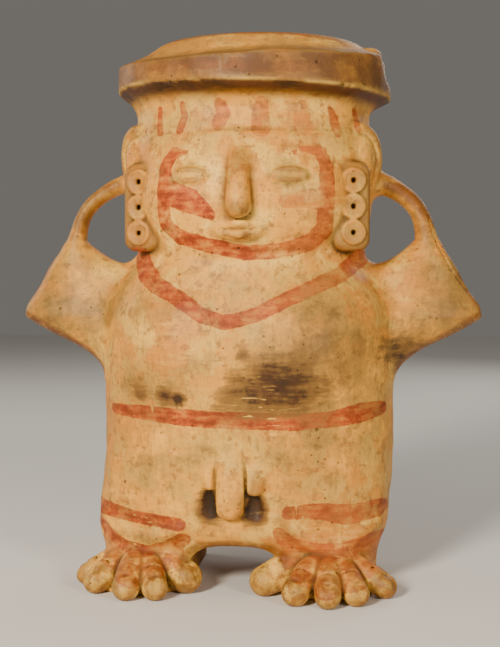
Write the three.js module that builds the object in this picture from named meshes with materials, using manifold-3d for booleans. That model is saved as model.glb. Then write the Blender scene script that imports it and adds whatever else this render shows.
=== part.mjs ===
// Anthropomorphic jug: one hollow vessel of fired clay in the shape of a standing figure.
// The mouth is the wide keeled brim of its headdress. The hands meet the sides of the head,
// so that each arm closes a loop, and a shallow arch parts the two splayed feet.
// Millimetres, +Z up, the figure faces -Y. The origin is the bottom centre of the whole jug.
import * as THREE from "three";
import { mergeVertices } from "three/addons/utils/BufferGeometryUtils.js";
import Module from "manifold-3d";

const wasm = await Module();
wasm.setup();

// Driving sizes
const HEIGHT = 360; // floor to the top of the lip
const WALL = 7; // clay of the body, head and brim
const LIP_WALL = 6; // clay at the mouth, across the lip
const FLOOR = 9; // clay under the hollow of each leg
const BRIM_DROOP = 5; // how much lower the brim's foot lies on the figure's left than on its right
const BRIM_RISE = 5; // how much higher the brim's upper edge lies there
const BRIM_DIP = 6; // how much lower that edge lies at the front than at the back
const DISC_RADIUS = 8.1; // each disc of the ear ornaments
const DISC_PROUD = 1.8; // how far a disc stands off its plate
const DISC_HOLE_RADIUS = 1.7;
const DISC_HOLE_DEPTH = 6;
const DISCS_EACH_SIDE = 3;
const PLATE_THICKNESS = 20; // ear plate, most of it sunk in the head
const PLATE_MARGIN = 3.6; // clay around the column of discs
const DISC_GAP = 0.3; // between one disc and the next
const TOE_RADIUS = 8.8;
const TOE_SINK = 0.8; // how much of each toe the floor cuts off, so that it rests flat
const FACETS = 40; // sides of the vessel's rings

// The figure keeps its pose and proportions as shares of its height, on a grid 360 units tall.
const UNIT = HEIGHT / 360;

const HEAD_SHIFT = 2; // the head and its ears lie this far towards the figure's left

// The vessel from the floor up: half width, front and back half depth, squareness, sideways shift.
const VESSEL = [
  { z: 0, wide: 91, front: 50, back: 58, square: 2.7, shift: -5 },
  { z: 20, wide: 93, front: 54, back: 62, square: 2.7, shift: -5 },
  { z: 42, wide: 98, front: 62, back: 67, square: 2.6, shift: -4 },
  { z: 75, wide: 98, front: 67, back: 71, square: 2.5, shift: -2 },
  { z: 110, wide: 97, front: 71, back: 69, square: 2.4, shift: 0 },
  { z: 150, wide: 97, front: 75, back: 67, square: 2.4, shift: 0 },
  { z: 180, wide: 96, front: 75, back: 68, square: 2.3, shift: 0 },
  { z: 199, wide: 89, front: 70, back: 66, square: 2.2, shift: 0 },
  { z: 212, wide: 79, front: 66, back: 63, square: 2.2, shift: 0 },
  { z: 222, wide: 76, front: 64, back: 62, square: 2.2, shift: 1 },
  { z: 255, wide: 80, front: 68, back: 66, square: 2.4, shift: HEAD_SHIFT },
  { z: 285, wide: 81, front: 69, back: 68, square: 2.4, shift: HEAD_SHIFT },
  { z: 310, wide: 78, front: 66, back: 66, square: 2.2, shift: HEAD_SHIFT },
  { z: 319, wide: 81, front: 69, back: 69, square: 2.1, shift: HEAD_SHIFT },
  { z: 326.5, wide: 89.8, front: 79, back: 78, square: 2, shift: 2.5 },
  { z: 328, wide: 91.5, front: 81, back: 80, square: 2, shift: 2.5 },
  { z: 345, wide: 91, front: 80, back: 79, square: 2, shift: 2.5 },
  { z: 346, wide: 89, front: 78, back: 77, square: 2, shift: 2.5 },
  { z: 351, wide: 80, front: 68, back: 68, square: 2, shift: 5 },
  { z: 358, wide: 68, front: 57, back: 57, square: 2, shift: 7 },
  { z: 360, wide: 65, front: 54, back: 54, square: 2, shift: 7 },
];
const HEADBAND = 310; // the narrowest height under the brim
const BRIM_FOOT = 328; // lower edge of the brim's upright band
const BRIM_TOP = 345; // upper edge of that band
const BRIM_REACH = 91.5; // half width of the brim
const ARCH = { x: -4.5, wide: 33, high: 33, square: 3 };

const FACE = { x: 1, chin: 212, hair: 298, wide: 65, middle: -47, reach: 31 };
const EYE_LINE = 0.64; // shares of the face's height, chin to hair
const NOSE_BASE = 0.38;
const NOSE_TOP = 0.84;
const MOUTH_LINE = 0.25;
const EYE_SPREAD = 0.48; // share of the face's half width

const PLATE = { x: 69, y: -49, middle: 249, turn: 15 };

// An upper arm is a flat wedge out to the elbow's tip: how far out each of its levels reaches.
const WEDGE = {
  inner: 58,
  y: -4,
  levels: [
    { z: 134, out: 88, deep: 5 },
    { z: 144, out: 100.5, deep: 14 },
    { z: 155, out: 114.5, deep: 19 },
    { z: 166, out: 136.5, deep: 21.5 },
    { z: 173, out: 149, deep: 22 },
    { z: 178, out: 155.2, deep: 22 },
    { z: 183, out: 154.5, deep: 21.5 },
    { z: 194, out: 147.5, deep: 19 },
    { z: 204, out: 141, deep: 15 },
    { z: 210, out: 137.5, deep: 11.5 },
    { z: 213, out: 128, deep: 6 },
  ],
};

// A forearm is a strap from the wedge's outer corner up and over to the side of the head.
const STRAP = [
  { at: [115, -4, 203], across: 20, deep: 12 },
  { at: [116.5, -4, 211], across: 19, deep: 11.5 },
  { at: [118.5, -4, 218], across: 14.5, deep: 11 },
  { at: [119, -3.5, 225], across: 9.8, deep: 10 },
  { at: [118, -3, 233], across: 8, deep: 9 },
  { at: [115, -2, 244], across: 7, deep: 8.5 },
  { at: [109, -1, 253.5], across: 7, deep: 8 },
  { at: [100.5, 0, 260.5], across: 7.2, deep: 8 },
  { at: [89, 0, 266.5], across: 8.2, deep: 9 },
  { at: [72, 0, 271], across: 9, deep: 10 },
];

// The rim of an ear, from the temple round to the hand, and the ear's own hollowed plate.
const EAR_RIM = [
  { at: [64, -38, 298], across: 3, deep: 3 },
  { at: [73, -33, 300], across: 3.6, deep: 4 },
  { at: [80, -24, 295], across: 3.8, deep: 5 },
  { at: [83, -17, 285], across: 3.8, deep: 5.5 },
  { at: [82.5, -14, 273], across: 3.6, deep: 5 },
  { at: [78, -13, 264], across: 3, deep: 4 },
];
const EAR_PLATE = { at: [73, -25, 280], half: [9, 13, 17] };

// Each foot is an ankle with five toes fanned out from it, from the figure's right to its left.
const FEET = [
  {
    ankle: [-68, -34],
    toes: [
      { tip: [-112.5, -38], girth: 0.85 },
      { tip: [-100, -65], girth: 0.94 },
      { tip: [-72, -83], girth: 1 },
      { tip: [-50, -80], girth: 0.94 },
      { tip: [-27, -58], girth: 1.22 },
    ],
  },
  {
    ankle: [55, -36],
    toes: [
      { tip: [6, -58], girth: 1.14 },
      { tip: [32.5, -84], girth: 1 },
      { tip: [57, -89], girth: 0.94 },
      { tip: [78, -80], girth: 0.94 },
      { tip: [99, -56], girth: 0.92 },
    ],
  },
];
const INSTEP = { wide: 31, deep: 29, high: 35 };

const TAB = { x: -5.5, top: 90, tip: 48, wide: 7.6, proud: 7 };
const HOLLOWS = [
  { x: -18.5, z: 58, wide: 4.2, high: 11 },
  { x: 9.6, z: 58, wide: 5.4, high: 8.5 },
];
const LUG = { x: 10.5, top: 80, foot: 66, wide: 5.5, proud: 3.5 };

// A closed geometry as a solid that can be joined and cut.
function solid(geometry) {
  const bare = geometry.index ? geometry.toNonIndexed() : geometry.clone();
  bare.deleteAttribute("normal");
  bare.deleteAttribute("uv");
  const merged = mergeVertices(bare, 1e-4);
  return new wasm.Manifold(
    new wasm.Mesh({
      numProp: 3,
      vertProperties: merged.attributes.position.array,
      triVerts: new Uint32Array(merged.index.array),
    }),
  );
}

const join = (solids) => solids.reduce((whole, next) => whole.add(next));

// A closed skin over rings of equal length, with a centre point at each end.
function skin(rings) {
  const count = rings[0].length;
  const middle = (ring) =>
    ring.reduce((sum, p) => sum.add(p), new THREE.Vector3()).divideScalar(count);
  const points = [...rings.flat(), middle(rings[0]), middle(rings.at(-1))];
  const faces = [];
  const foot = rings.length * count;
  const head = foot + 1;
  const last = (rings.length - 1) * count;
  for (let i = 0; i < count; i++) {
    const next = (i + 1) % count;
    faces.push(foot, next, i, head, last + i, last + next);
    for (let row = 0; row < last; row += count) {
      faces.push(row + i, row + next, row + count + next);
      faces.push(row + i, row + count + next, row + count + i);
    }
  }
  return new THREE.BufferGeometry().setFromPoints(points).setIndex(faces);
}

// Slopes of a smooth curve through (x, y) that never overshoots its points.
function slopes(x, y) {
  const step = x.slice(1).map((v, i) => (y[i + 1] - y[i]) / (v - x[i]));
  return x.map((_, i) => {
    if (i === 0) return step[0];
    if (i === x.length - 1) return step[i - 1];
    const turns = step[i - 1] * step[i] <= 0;
    return turns ? 0 : (2 * step[i - 1] * step[i]) / (step[i - 1] + step[i]);
  });
}

// One value of the vessel's stations at height z, on that smooth curve.
function along(stations, key, z) {
  const heights = stations.map((s) => s.z);
  const values = stations.map((s) => s[key]);
  const slope = slopes(heights, values);
  const i = Math.max(0, heights.findLastIndex((h, k) => h <= z && k < heights.length - 1));
  const span = heights[i + 1] - heights[i];
  const t = Math.min(1, Math.max(0, (z - heights[i]) / span));
  const [t2, t3] = [t * t, t * t * t];
  return (
    (2 * t3 - 3 * t2 + 1) * values[i] +
    (t3 - 2 * t2 + t) * span * slope[i] +
    (3 * t2 - 2 * t3) * values[i + 1] +
    (t3 - t2) * span * slope[i + 1]
  );
}

const fullSize = (s) => ({
  z: s.z * UNIT,
  wide: s.wide * UNIT,
  front: s.front * UNIT,
  back: s.back * UNIT,
  square: s.square,
  shift: s.shift * UNIT,
});
const OUTSIDE = VESSEL.map(fullSize);

// How far the uneven brim lifts a point of the vessel at height z.
function brimLift(x, y, z) {
  const ease = (from, to, value) => {
    const t = Math.min(1, Math.max(0, (value - from) / (to - from)));
    return t * t * (3 - 2 * t);
  };
  const [neck, foot, top] = [HEADBAND, BRIM_FOOT, BRIM_TOP].map((level) => level * UNIT);
  const footShare = ease(neck, foot, z) * (1 - ease(foot, top, z));
  const topShare = ease(foot, top, z) * (1 - ease(top, HEIGHT, z));
  const left = (x / (BRIM_REACH * UNIT) + 1) / 2;
  const front = ease(-10 * UNIT, 70 * UNIT, -y);
  return left * (BRIM_RISE * topShare - BRIM_DROOP * footShare) - BRIM_DIP * topShare * front;
}

// A ring of the vessel at height z, drawn in by the given thickness of clay.
function ring(z, inset, facets) {
  const [wide, front, back, square, shift] = ["wide", "front", "back", "square", "shift"].map(
    (key) => along(OUTSIDE, key, z),
  );
  return Array.from({ length: facets }, (_, i) => {
    const angle = (i / facets) * 2 * Math.PI;
    const [c, s] = [Math.cos(angle), Math.sin(angle)];
    const bend = (v) => Math.sign(v) * Math.abs(v) ** (2 / square);
    const x = bend(c) * (wide - inset);
    const y = bend(s) * ((s < 0 ? front : back) - inset);
    return new THREE.Vector3(x + shift, y, z + brimLift(x, y, z));
  });
}

function levels(from, to, step) {
  const heights = OUTSIDE.map((s) => s.z).filter((z) => z > from && z < to);
  return [from, ...heights, to].flatMap((z, i, all) => {
    if (i === all.length - 1) return [z];
    const count = Math.ceil((all[i + 1] - z) / step);
    return Array.from({ length: count }, (_, k) => z + ((all[i + 1] - z) * k) / count);
  });
}

function vesselBody() {
  return solid(skin(levels(0, HEIGHT, 20 * UNIT).map((z) => ring(z, 0, FACETS))));
}

// The tunnel between the legs, front to back, grown by a thickness of clay.
function arch(grow) {
  const [wide, high] = [ARCH.wide * UNIT + grow, ARCH.high * UNIT + grow];
  const points = Array.from({ length: 25 }, (_, i) => {
    const angle = (i / 24) * Math.PI;
    const bend = (v) => Math.sign(v) * Math.abs(v) ** (2 / ARCH.square);
    return new THREE.Vector2(bend(Math.cos(angle)) * wide, bend(Math.sin(angle)) * high);
  });
  const below = 5 * UNIT;
  const outline = [new THREE.Vector2(wide, -below), ...points, new THREE.Vector2(-wide, -below)];
  const depth = 3 * VESSEL[0].back * UNIT;
  const tunnel = new THREE.ExtrudeGeometry(new THREE.Shape(outline), {
    depth,
    bevelEnabled: false,
  });
  tunnel.translate(ARCH.x * UNIT, 0, -depth / 2).rotateX(Math.PI / 2);
  return solid(tunnel);
}

// The hollow: the outside drawn in by the wall, open through the mouth, kept off the arch.
function cavity() {
  const facets = Math.round(FACETS * 0.7);
  const [neck, foot, top] = [HEADBAND, BRIM_FOOT, BRIM_TOP].map((z) => z * UNIT);
  const rings = levels(FLOOR, neck, 40 * UNIT).map((z) => ring(z, WALL, facets));
  rings[0] = ring(FLOOR, 2 * WALL, facets);
  rings.push(ring(foot, WALL * 1.35, facets));
  rings.push(ring(top - WALL, WALL * 1.05, facets));
  const lip = ring(HEIGHT, LIP_WALL, facets);
  const lift = (mm) => lip.map((p) => p.clone().setZ(p.z + mm));
  rings.push(lift(-WALL), lift(0), lift(LIP_WALL));
  return solid(skin(rings)).subtract(arch(WALL));
}

// A limb through stations along a path. "deep" is measured along the reference direction
// and "across" is square to it and to the path.
function limb(stations, { side = 1, reference = [0, 1, 0], facets = 14, steps = 2 } = {}) {
  const spline = (points) => new THREE.CatmullRomCurve3(points, false, "catmullrom", 0.5);
  const path = spline(
    stations.map(({ at: [x, y, z] }) => new THREE.Vector3(x * side, y, z).multiplyScalar(UNIT)),
  );
  const girth = spline(
    stations.map((s) => new THREE.Vector3(s.across, s.deep, 0).multiplyScalar(UNIT)),
  );
  const count = (stations.length - 1) * steps;
  const rings = Array.from({ length: count + 1 }, (_, k) => {
    const centre = path.getPoint(k / count);
    const { x: across, y: deep } = girth.getPoint(k / count);
    const ahead = path.getTangent(k / count);
    const deepWay = new THREE.Vector3(...reference);
    deepWay.addScaledVector(ahead, -deepWay.dot(ahead)).normalize();
    const acrossWay = new THREE.Vector3().crossVectors(deepWay, ahead);
    return Array.from({ length: facets }, (_, i) => {
      const angle = (i / facets) * 2 * Math.PI;
      return centre
        .clone()
        .addScaledVector(acrossWay, Math.cos(angle) * across)
        .addScaledVector(deepWay, Math.sin(angle) * deep);
    });
  });
  return solid(skin(rings));
}

// An ellipsoid with the given centre and half sizes, in grid units.
function pebble(centre, half, [around, up] = [10, 6]) {
  const ball = new THREE.SphereGeometry(1, around, up).rotateX(Math.PI / 2);
  ball.scale(...half.map((v) => v * UNIT)).translate(...centre.map((v) => v * UNIT));
  return solid(ball);
}

const faceHeight = (share) => FACE.chin + share * (FACE.hair - FACE.chin);

// How far forward the face's mask stands at a place on it, in grid units.
function faceFront(x, z) {
  const across = (x - FACE.x) / FACE.wide;
  const up = (z - faceHeight(0.5)) / (faceHeight(1) - faceHeight(0.5));
  return FACE.middle - FACE.reach * Math.sqrt(Math.max(0, 1 - across ** 2 - up ** 2));
}

function face() {
  const half = (FACE.hair - FACE.chin) / 2;
  const mask = pebble(
    [FACE.x, FACE.middle, faceHeight(0.5)],
    [FACE.wide, FACE.reach, half],
    [24, 12],
  );
  const features = [mask, nose(), ...mouth()];
  for (const side of [-1, 1]) features.push(...eye(side));
  return join(features);
}

// A straight bar that deepens from the brow down to a blunt base.
function nose() {
  const station = (share, across, proud) => {
    const z = THREE.MathUtils.lerp(faceHeight(NOSE_TOP), faceHeight(NOSE_BASE), share);
    return { at: [FACE.x, faceFront(FACE.x, z) + 3 - proud / 2, z], across, deep: 3 + proud / 2 };
  };
  const stations = [
    station(0, 4, 0),
    station(0.12, 5.8, 5),
    station(0.5, 7, 9),
    station(0.85, 8.4, 13),
    station(0.97, 8, 13),
    station(1, 5.5, 10),
  ];
  return limb(stations, { facets: 12, steps: 1 });
}

function eye(side) {
  const x = FACE.x + side * EYE_SPREAD * FACE.wide;
  const z = faceHeight(EYE_LINE);
  const y = faceFront(x, z);
  return [
    pebble([x, y + 0.5, z + 1.5], [12, 3.2, 8]),
    pebble([x, y - 1.6, z - 1], [10, 3.2, 2.6]),
  ];
}

function mouth() {
  const z = faceHeight(MOUTH_LINE);
  const y = faceFront(FACE.x, z);
  return [
    pebble([FACE.x, y + 0.5, z + 1], [14.5, 4.2, 7.5]),
    pebble([FACE.x, y - 2.6, z + 2.2], [11, 3, 2.2]),
    pebble([FACE.x, y - 2.6, z - 2], [10, 3, 2.4]),
  ];
}

// One ear plate with its column of pierced discs, facing forward and a little outward.
function earPlate(side) {
  const pitch = 2 * DISC_RADIUS + DISC_GAP;
  const tall = (DISCS_EACH_SIDE - 1) * pitch + 2 * DISC_RADIUS + 2 * PLATE_MARGIN;
  const wide = 2 * DISC_RADIUS + 2 * PLATE_MARGIN;
  const corner = wide / 3;
  const outline = new THREE.Shape();
  outline.absarc(wide / 2 - corner, tall / 2 - corner, corner, 0, Math.PI / 2);
  outline.absarc(corner - wide / 2, tall / 2 - corner, corner, Math.PI / 2, Math.PI);
  outline.absarc(corner - wide / 2, corner - tall / 2, corner, Math.PI, 1.5 * Math.PI);
  outline.absarc(wide / 2 - corner, corner - tall / 2, corner, 1.5 * Math.PI, 2 * Math.PI);
  const plate = new THREE.ExtrudeGeometry(outline, {
    depth: PLATE_THICKNESS,
    bevelEnabled: false,
    curveSegments: 4,
  });
  plate.translate(0, 0, -PLATE_THICKNESS);
  const heights = Array.from(
    { length: DISCS_EACH_SIDE },
    (_, i) => (i - (DISCS_EACH_SIDE - 1) / 2) * pitch,
  );
  const place = new THREE.Matrix4()
    .makeTranslation((side * PLATE.x + HEAD_SHIFT) * UNIT, PLATE.y * UNIT, PLATE.middle * UNIT)
    .multiply(new THREE.Matrix4().makeRotationZ(THREE.MathUtils.degToRad(side * PLATE.turn)))
    .multiply(new THREE.Matrix4().makeRotationX(Math.PI / 2));
  const drum = (radius, from, to, y, sides) =>
    solid(
      new THREE.CylinderGeometry(radius, radius, to - from, sides)
        .rotateX(Math.PI / 2)
        .translate(0, y, (from + to) / 2)
        .applyMatrix4(place),
    );
  const discs = heights.map((y) => drum(DISC_RADIUS, -WALL / 2, DISC_PROUD, y, 16));
  const holes = heights.map((y) =>
    drum(DISC_HOLE_RADIUS, DISC_PROUD - DISC_HOLE_DEPTH, DISC_PROUD + 1, y, 6),
  );
  return { clay: join([solid(plate.applyMatrix4(place)), ...discs]), holes: join(holes) };
}

function arm(side) {
  const rings = WEDGE.levels.map(({ z, out, deep }) => {
    const [middle, half] = [(out + WEDGE.inner) / 2, (out - WEDGE.inner) / 2];
    return Array.from({ length: 16 }, (_, i) => {
      const angle = (i / 16) * 2 * Math.PI;
      const x = side * middle + Math.cos(angle) * half;
      return new THREE.Vector3(x, WEDGE.y + Math.sin(angle) * deep, z).multiplyScalar(UNIT);
    });
  });
  return solid(skin(rings)).add(limb(STRAP, { side, facets: 10, steps: 1 }));
}

function ear(side) {
  const set = ([x, y, z]) => [side * x + HEAD_SHIFT, y, z];
  const rim = EAR_RIM.map((station) => ({ ...station, at: set(station.at) }));
  return limb(rim, { facets: 8, steps: 1 }).add(pebble(set(EAR_PLATE.at), EAR_PLATE.half));
}

function foot({ ankle: [x, y], toes }) {
  const instep = pebble([x, y, 0], [INSTEP.wide, INSTEP.deep, INSTEP.high], [18, 8]);
  const fan = toes.map(({ tip, girth }) => {
    const way = new THREE.Vector2(tip[0] - x, tip[1] - y);
    const reach = way.length();
    way.normalize();
    const radius = (TOE_RADIUS * girth) / UNIT;
    const low = radius - TOE_SINK / UNIT;
    const station = (out, z, share) => ({
      at: [x + way.x * out, y + way.y * out, z],
      across: radius * share,
      deep: radius * share,
    });
    const stations = [
      station(reach * 0.2, low + 13, 0.85),
      station(reach * 0.48, low + 8.5, 1.02),
      station(reach - 1.8 * radius, low + 3.5, 1.05),
      station(reach - 0.9 * radius, low + 0.5, 1),
      station(reach - 0.3 * radius, low - 0.5, 0.8),
      station(reach, low - 1, 0.4),
    ];
    return limb(stations, { reference: [0, 0, 1], facets: 9, steps: 1 });
  });
  return join([instep, ...fan]);
}

// The relief at the pelvis: a hanging tab with a small lug at its side.
function pelvisRelief() {
  const front = (z) => -along(OUTSIDE, "front", z * UNIT) / UNIT;
  const tab = limb(
    [
      { at: [TAB.x, front(TAB.top) + 3, TAB.top], across: 5, deep: 3 },
      { at: [TAB.x, front(80) - 0.5, 80], across: TAB.wide, deep: 5 },
      { at: [TAB.x, front(64) - 2.5, 64], across: TAB.wide, deep: TAB.proud },
      { at: [TAB.x, front(54) - 3, 54], across: TAB.wide * 0.92, deep: TAB.proud },
      { at: [TAB.x, front(TAB.tip) - 2, TAB.tip], across: 3.5, deep: 3.5 },
    ],
    { facets: 12, steps: 2 },
  );
  const lug = limb(
    [
      { at: [LUG.x, front(LUG.top) + 3, LUG.top], across: 4, deep: 2 },
      { at: [LUG.x, front(73), 73], across: LUG.wide, deep: LUG.proud },
      { at: [LUG.x, front(LUG.foot), LUG.foot], across: LUG.wide, deep: LUG.proud },
    ],
    { facets: 10, steps: 1 },
  );
  return join([tab, lug]);
}

// Shallow thumb-pressed hollows beside the tab.
function pelvisHollows() {
  return join(
    HOLLOWS.map(({ x, z, wide, high }) =>
      pebble([x, -along(OUTSIDE, "front", z * UNIT) / UNIT, z], [wide, 3.2, high]),
    ),
  );
}

function jug() {
  const plates = [-1, 1].map(earPlate);
  const clay = join([
    vesselBody().subtract(arch(0)),
    face(),
    ...plates.map((plate) => plate.clay),
    ...[-1, 1].flatMap((side) => [arm(side), ear(side)]),
    ...FEET.map(foot),
    pelvisRelief(),
  ]);
  const below = solid(
    new THREE.BoxGeometry(2 * HEIGHT, 2 * HEIGHT, HEIGHT).translate(0, 0, -HEIGHT / 2),
  );
  const cuts = [cavity(), below, pelvisHollows(), ...plates.map((plate) => plate.holes)];
  return cuts.reduce((whole, cut) => whole.subtract(cut), clay);
}

// The finished solid as a geometry, with the bottom centre of its box at the origin.
function geometryOf(shape) {
  const mesh = shape.getMesh();
  const geometry = new THREE.BufferGeometry();
  geometry.setAttribute("position", new THREE.BufferAttribute(mesh.vertProperties, mesh.numProp));
  geometry.setIndex(new THREE.BufferAttribute(mesh.triVerts, 1));
  geometry.computeBoundingBox();
  const { min, max } = geometry.boundingBox;
  geometry.translate(-(min.x + max.x) / 2, -(min.y + max.y) / 2, -min.z);
  geometry.computeVertexNormals();
  return geometry;
}

const clayMaterial = new THREE.MeshStandardMaterial({
  color: 0xc9a06a,
  roughness: 0.55,
  metalness: 0,
});
const jugMesh = new THREE.Mesh(geometryOf(jug()), clayMaterial);
jugMesh.name = "jug";

const model = new THREE.Group();
model.add(jugMesh);

export default model;
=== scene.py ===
"""Anthropomorphic jug: one hollow figure of burnished, slip-painted earthenware.

The clay is worked as a signed distance on a grid, in millimetres around the vessel's axis with
the figure facing -Y, and then skinned. The painting is stored on the skin as distances to brush
strokes, and the material turns them into worn slip.
"""
import math

import bpy
import numpy as np
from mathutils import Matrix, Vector


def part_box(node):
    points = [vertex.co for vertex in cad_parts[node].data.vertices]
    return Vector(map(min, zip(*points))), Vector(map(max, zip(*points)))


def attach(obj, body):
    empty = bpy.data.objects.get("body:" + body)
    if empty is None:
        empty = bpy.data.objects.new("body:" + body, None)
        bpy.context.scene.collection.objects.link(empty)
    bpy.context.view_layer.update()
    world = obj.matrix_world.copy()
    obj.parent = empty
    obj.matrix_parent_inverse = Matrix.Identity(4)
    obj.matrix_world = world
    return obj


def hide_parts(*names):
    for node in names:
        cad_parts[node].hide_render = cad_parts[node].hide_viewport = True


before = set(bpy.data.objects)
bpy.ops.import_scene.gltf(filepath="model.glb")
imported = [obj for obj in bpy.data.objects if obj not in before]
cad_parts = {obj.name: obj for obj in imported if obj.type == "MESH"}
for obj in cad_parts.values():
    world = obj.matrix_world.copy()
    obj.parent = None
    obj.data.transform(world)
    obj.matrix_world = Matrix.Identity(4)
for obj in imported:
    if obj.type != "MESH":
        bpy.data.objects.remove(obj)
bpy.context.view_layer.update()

HEIGHT = 360
BACK_REACH = 80  # how far the brim's back stands behind the vessel's axis
LOW, HIGH = (np.array(corner) * 1000 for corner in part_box("jug"))
UNIT = (HIGH[2] - LOW[2]) / HEIGHT  # the frame's millimetres to one of the shapes below
AXIS_Y = HIGH[1] - BACK_REACH * UNIT  # the vessel's axis in the frame
CELL = 1.15
TRIANGLES = 190_000
SEED = 17
BLOCK = ((-163, -98, -5), (163, 88, 368))  # the block that the clay is worked in

# Height, half width, front and back half depth, squareness and sideways shift of the vessel.
VESSEL = np.array([
    (0, 91, 50, 58, 2.7, -5), (20, 93, 54, 62, 2.7, -5), (42, 98, 62, 67, 2.6, -4),
    (75, 98, 67, 71, 2.5, -2), (110, 97, 71, 69, 2.4, 0), (150, 97, 75, 67, 2.4, 0),
    (180, 96, 75, 68, 2.3, 0), (199, 89, 70, 66, 2.2, 0), (212, 79, 66, 63, 2.2, 0),
    (222, 76, 64, 62, 2.2, 1), (255, 80, 68, 66, 2.4, 2), (285, 81, 69, 68, 2.4, 2),
    (310, 78, 66, 66, 2.2, 2), (319, 81, 69, 69, 2.1, 2), (326.5, 89.8, 79, 78, 2, 2.5),
    (328, 91.5, 81, 80, 2, 2.5), (345, 91, 80, 79, 2, 2.5), (346, 88, 77, 76, 2, 2.5),
    (350, 77, 66, 66, 2, 4), (354.5, 71, 60, 60, 2, 5.5), (358.5, 65, 54.5, 54.5, 2, 6.5),
    (360, 61, 51, 51, 2, 7),
])
WALL, LIP_WALL, FLOOR = 7, 4, 9
HEADBAND, BRIM_FOOT, BRIM_TOP, BRIM_REACH = 310, 328, 345, 91.5
BRIM_DROOP, BRIM_RISE, BRIM_DIP = 5, 5, 6  # the brim's foot and upper edge aren't level
UNEVEN_FROM = HEADBAND - 6  # where the vessel stops being level
BRIM_BREAK = [((118, -6, 352), (32, 46, 32)), ((93, -12, 342), (6.5, 16, 2.6))]
BREAK_WALL = 4  # clay left behind the break in the brim
BRIM_NUB = ((80, -10, 349.5), (8.6, 11, 5.4))
BRIM_DENT = ((16, -67, 348.5), (4.5, 2.6, 1))
BRIM_CHIPS = 34
LIP_SHIFT = 7
ARCH = {"x": -4.5, "wide": 33, "high": 31, "square": 3}
CHEST = [(-42, 158, 5.5), (47, 162, 6.5)]  # swellings: across, up, how proud
CHEST_WIDE, CHEST_HIGH = 31, 27
UNEVEN = [(60, 0.5), (24, 0.22)]  # the hand's unevenness: wave and height
WAVES = 8
GROOVE_Z, GROOVE_REACH, GROOVE_HALF = 296.5, 58, 0.9  # under the headband

FACE = {"x": 1, "chin": 212, "hair": 298, "wide": 65, "middle": -47, "reach": 31}
EYE_LINE, NOSE_BASE, NOSE_TOP, MOUTH_LINE = 0.64, 0.38, 0.84, 0.25
EYE_SPREAD = 0.48
HEAD_SHIFT = 2
EAR = ((73, -25, 280), (9, 13, 17))

DISC_RADIUS, DISC_PROUD, DISC_HOLE, DISC_HOLE_DEPTH, DISC_PITCH = 8.1, 1.8, 1.7, 6, 16.5
PLATE = {"x": 69, "y": -49, "middle": 249, "turn": 15, "thick": 20, "margin": 3.6}

WEDGE_INNER, WEDGE_Y = 58, -4
WEDGE = np.array([  # height, how far out, half thickness
    (134, 88, 5), (144, 100.5, 14), (155, 114.5, 19), (166, 136.5, 21.5), (173, 149, 22),
    (178, 155.2, 22), (183, 154.5, 21), (194, 147.5, 17.5), (204, 140.5, 14), (210, 137, 12.2),
    (213, 135.5, 11.6),
])
STRAP = [  # place, then half width across and deep
    (113, -4, 196, 24, 13.5), (115, -4, 204, 22, 12.5), (116.8, -4, 211, 19, 11.5),
    (118.5, -4, 218, 14.5, 11),
    (119, -3.5, 225, 9.8, 10), (118, -3, 233, 8, 9), (115, -2, 244, 7, 8.5),
    (109, -1, 253.5, 7, 8), (100.5, 0, 260.5, 7.2, 8), (89, 0, 266.5, 8.2, 9), (72, 0, 271, 9, 10),
]
STRAP_SLIM = {-1: 0.72, 1: 0.88}  # the loops' width above the elbows, on either side
EAR_RIM = [
    (64, -38, 298, 3, 3), (73, -33, 300, 3.6, 4), (80, -24, 295, 3.8, 5),
    (83, -17, 285, 3.8, 5.5), (82.5, -14, 273, 3.6, 5), (78, -13, 264, 3, 4),
]
TOE_RADIUS, TOE_SINK = 8.8, 0.8
FEET = [  # ankle, then each toe's tip and girth
    ((-68, -34), [((-112.5, -38), 0.85), ((-100, -65), 0.94), ((-72, -83), 1),
                  ((-50, -80), 0.94), ((-27, -58), 1.22)]),
    ((55, -36), [((6, -58), 1.14), ((32.5, -84), 1), ((57, -89), 0.94),
                 ((78, -80), 0.94), ((99, -56), 0.92)]),
]
INSTEP = (31, 29, 35)
NAIL_ARC = (78, 58, 38, 18, 4)  # the nail's trough over the tip of a toe, in degrees
TAB_X = -5.5
FOLD_UP, FOLD_RADIUS, FOLD_SINK = 4.5, 4.6, 2.4
CREASES = [  # the fold above each ankle, in front view
    [(-92, 44), (-88, 41), (-80, 35.5), (-64, 31), (-48.5, 34), (-38, 38)],
    [(25, 47), (31, 39), (41, 31.5), (55, 29.5), (67.5, 31), (76, 35.5), (86, 40)],
]

INCISED = [  # lines cut into the front
    *CREASES, [(119.7, 243), (122.5, 233), (126.2, 224), (134.7, 208.4), (145.5, 194)],
    [(26, 91), (26.3, 86.5)], [(-44, 96), (-38, 92.5)],
]
INCISED_RADIUS, INCISED_DEPTH = 0.55, 0.9

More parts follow.
